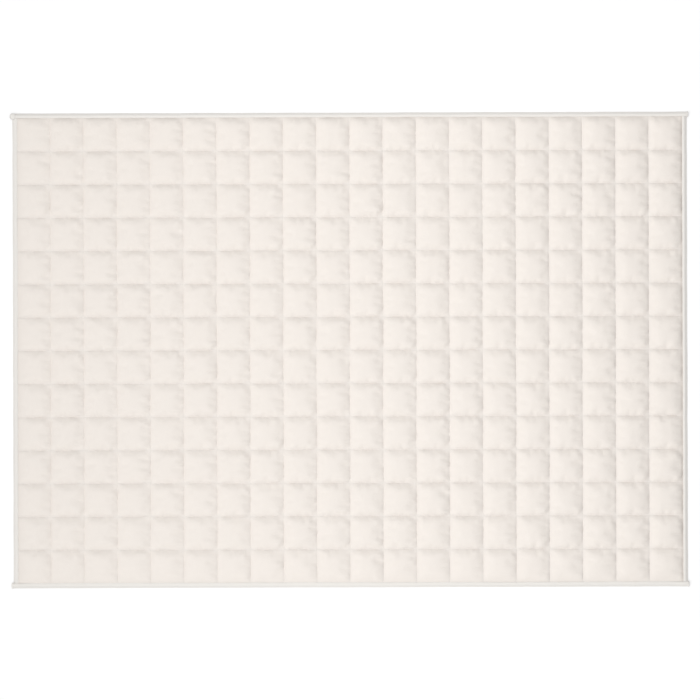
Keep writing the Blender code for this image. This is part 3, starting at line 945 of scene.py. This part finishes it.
class Signal:
    """A socket of a material, used like a number: each operator adds one Math node."""

    def __init__(self, tree, socket=None):
        self.tree = tree
        self.socket = socket

    def node(self, kind, settings=None, inputs=None, output=0):
        """Any other node: its type, the settings that are set first, and its sockets."""
        made = self.tree.nodes.new("ShaderNode" + kind)
        for name, value in (settings or {}).items():
            setattr(made, name, value)
        for name, value in (inputs or {}).items():
            if isinstance(value, Signal):
                self.tree.links.new(value.socket, made.inputs[name])
            else:
                made.inputs[name].default_value = value
        return Signal(self.tree, made.outputs[output])

    def other(self, output):
        """Another output of the node that this socket belongs to."""
        return Signal(self.tree, self.socket.node.outputs[output])

    def feed(self, socket):
        """Link this socket to one of the shader's."""
        self.tree.links.new(self.socket, socket)

    def mix(self, factor, first, second):
        """Two colours mixed by a factor."""
        colours = {"Factor": factor, MIX_FIRST: first, MIX_SECOND: second}
        return self.node("Mix", {"data_type": "RGBA"}, colours, MIX_RESULT)

    def math(self, operation, first, second=0.0):
        """A Math node on two numbers or sockets."""
        return self.node("Math", {"operation": operation}, {0: first, 1: second})

    def __add__(self, other):
        return self.math("ADD", self, other)

    def __radd__(self, other):
        return self.math("ADD", other, self)

    def __sub__(self, other):
        return self.math("SUBTRACT", self, other)

    def __rsub__(self, other):
        return self.math("SUBTRACT", other, self)

    def __mul__(self, other):
        return self.math("MULTIPLY", self, other)

    def __rmul__(self, other):
        return self.math("MULTIPLY", other, self)


def new_material(name, settings):
    """A material and its shader, with some of the shader's sockets set."""
    material = bpy.data.materials.new(name)
    material.use_nodes = True
    shader = material.node_tree.nodes["Principled BSDF"]
    for socket, value in settings.items():
        shader.inputs[socket].default_value = value
    return material, shader


def gathers(base, place, split):
    """Fine puckers where the cloth is drawn in, in metres: streaks that run away from each seam
    and die out within a reach after and before it, for both directions of sewing:
    (1 - distance / reach)^2 * (noise - 1/2) * depth."""
    height = 0.0
    for axis, size, count, stretch in (("X", LENGTH, COLUMNS, GATHER_STRETCH),
                                       ("Y", WIDTH, ROWS, GATHER_STRETCH[::-1])):
        pitch = (size - 2 * SEAM_MARGIN) / count
        across = split.other(axis) * (1 / pitch) + count / 2
        share = base.math("FRACT", across)
        after = base.math("MAXIMUM", 1.0 - share * (pitch / GATHER_REACH[0]), 0.0)
        before = base.math("MAXIMUM", 1.0 - (1.0 - share) * (pitch / GATHER_REACH[1]), 0.0)
        near = after + before
        scaled = base.node("VectorMath", {"operation": "MULTIPLY"}, {0: place, 1: (*stretch, 0.0)})
        streaks = base.node("TexNoise", None, {"Vector": scaled, "Scale": 1.0, "Detail": 2.0})
        height = near * near * (streaks - 0.5) * GATHER_DEPTH[axis] + height
    return height


def fabric(name, colour, shade, thread, weave_depth, sheen, marks=(), gathered=False):
    """Matt woven cloth: crossing threads in the bump, and cloudy colour and roughness.
    Height of the weave: depth * sin(2 pi x / thread) * sin(2 pi y / thread).
    Each mark is a number that the mesh keeps, and the colour of painted shade that it brings in."""
    material, shader = new_material(
        name, {"Sheen Weight": sheen, "Sheen Roughness": 0.5, "Specular IOR Level": 0.2})
    base = Signal(material.node_tree)
    place = base.node("TexCoord", output="Object")
    cloud = base.node("TexNoise", None, {"Vector": place, **CLOUDS})
    tint = base.mix(cloud, (*colour, 1.0), (*shade, 1.0))
    # each mark mixes in painted shade by the share that the mesh keeps
    for mark, shade_colour in marks:
        share = base.node("Attribute", {"attribute_name": mark}, output="Fac")
        tint = base.mix(share, tint, (*shade_colour, 1.0))
    tint.feed(shader.inputs["Base Color"])
    nap = base.node("TexNoise", None, {"Vector": place, **NAP})
    (nap * ROUGHNESS[1] + ROUGHNESS[0]).feed(shader.inputs["Roughness"])

    split = base.node("SeparateXYZ", None, {"Vector": place})
    along = base.math("SINE", split.other("X") * (2 * pi / thread))
    across = base.math("SINE", split.other("Y") * (2 * pi / thread))
    height = along * across * weave_depth + nap * (NAP_DEPTH * weave_depth)
    if gathered:
        height = height + gathers(base, place, split)
    bump = base.node("Bump", None, {"Height": height, "Distance": 1.0, "Strength": 1.0})
    bump.feed(shader.inputs["Normal"])
    return material


# ---------------------------------------------------------------- studio

def studio():
    """White floor, a little light from all round, a soft sun low at the near left, and a wide lamp
    overhead that runs across the blanket, so that light comes from its middle outwards."""
    corners = FLOOR_SIZE * np.array([[-1, -1, 0], [1, -1, 0], [1, 1, 0], [-1, 1, 0]], float)
    floor = link("floor", mesh_from("floor", corners, [[[0, 1, 2, 3]]], smooth=False))
    material, _ = new_material("white floor", {
        "Base Color": (FLOOR_WHITE, FLOOR_WHITE, FLOOR_WHITE, 1.0),
        "Roughness": 0.9,
        "Specular IOR Level": 0.0,
        "Emission Color": WHITE,
        "Emission Strength": FLOOR_GLOW,
    })
    floor.data.materials.append(material)

    world = bpy.data.worlds.new("studio")
    world.use_nodes = True
    sky = world.node_tree.nodes["Background"]
    sky.inputs["Color"].default_value = WHITE
    sky.inputs["Strength"].default_value = AMBIENT
    SCENE.world = world

    sun = bpy.data.lights.new("sun", "SUN")
    sun.energy = SUN_STRENGTH
    sun.angle = radians(SUN_ANGLE)
    link("sun", sun).rotation_euler = Vector(SUN_FROM).to_track_quat("Z", "Y").to_euler()

    lamp = bpy.data.lights.new("wide lamp", "AREA")
    lamp.shape = "RECTANGLE"
    lamp.size, lamp.size_y = LAMP_SIZE
    lamp.energy = LAMP_POWER
    link("wide lamp", lamp).location = (0.0, 0.0, LAMP_HEIGHT)


def camera():
    """Straight down over the blanket, from high up, with the photograph's scale and turn."""
    metres = LENGTH / BLANKET_PIXELS
    middle = FRAME_PIXELS / 2
    lens = bpy.data.cameras.new("camera")
    lens.sensor_width = SENSOR
    lens.lens = SENSOR * CAMERA_HEIGHT / (metres * FRAME_PIXELS)
    lens.clip_end = SIGHT
    thing = link("camera", lens)
    thing.location = ((middle - CENTRE_PIXELS[0]) * metres, (CENTRE_PIXELS[1] - middle) * metres,
                      CAMERA_HEIGHT + EDGE_MIDDLE)
    thing.rotation_euler = (0.0, 0.0, radians(-TILT_DEGREES))
    SCENE.camera = thing


# ---------------------------------------------------------------- the blanket

def settle_in(piece, material, node=None):
    """Gives a piece its material and slot, and the solid that it replaces."""
    piece.data.materials.append(material)
    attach(piece, "root")
    if node:
        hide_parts(node)


def bind_edge(name, node, side, seed, cloth):
    """One strip of the binding with any ears; returns the shapes of the stitches that hold it."""
    if name in ("tape_left", "tape_right"):
        strip = Strip(name, WIDTH / 2 - CUT_EDGE, SEAMS_Y, 0.0, seed)
        place = side_place(side, strip)
        ears = []
        direction = [0.0, 1.0, 0.0]
    else:
        strip = Strip(name, LENGTH / 2 + CLEAR + END_OVERHANG, SEAMS_X, 2 * CORNER_LIFT, seed)
        place = end_place(side)
        ears = [ear_shell(node, end) for end in (-1, 1)]
        direction = [1.0, 0.0, 0.0]
    piece = strip_piece(strip, place, ears)
    settle_in(piece, cloth, node)

    # Cut 36 mm wide: twice the solids' face of 16 mm, and about 4 mm round the edge
    places, depth, height = strip.stitch_places()
    centres = place(places, depth, height + BINDING_LIFT * THREAD)
    return stitch_shapes(centres, np.tile(direction, (len(places), 1)), 1, BINDING_PITCH, True)


camera()
studio()
SCENE.view_settings.view_transform = "Standard"

quilt = panel()
# Its colour carries painted shade in the seam grooves and beside the tape
quilt_cloth = fabric("quilt cloth", QUILT_COLOUR, QUILT_SHADE, thread=0.0008, weave_depth=0.00005, sheen=0.1,
                     marks=(("groove_shade", PAINTED_GROOVE_SHADE), ("rim", PAINTED_RIM_SHADE)), gathered=True)
settle_in(quilt, quilt_cloth, "quilt")

# Its colour carries painted shade along the fold and round the ears
tape_cloth = fabric("binding tape", TAPE_COLOUR, TAPE_SHADE, thread=0.0006, weave_depth=0.00005, sheen=0.1,
                    marks=(("fold", PAINTED_FOLD_SHADE),))
strips = (
    ("tape_left", "binding_left", -1),
    ("tape_right", "binding_right", 1),
    ("tape_bottom", "binding_bottom", -1),
    ("tape_top", "binding_top", 1),
)
rows = [
    bind_edge(name, node, side, seed, tape_cloth)
    for seed, (name, node, side) in enumerate(strips, TAPE_SEED)
]

sewing_thread = fabric("sewing thread", THREAD_COLOUR, THREAD_COLOUR, thread=0.0004, weave_depth=0.00003,
                       sheen=0.2)
for piece in (
    quilting_stitches("quilting_stitches_upper", CHANNEL_TOP, 1, True),
    quilting_stitches("quilting_stitches_lower", CHANNEL_BOTTOM, -1, False),
    binding_stitches(rows),
):
    settle_in(piece, sewing_thread)
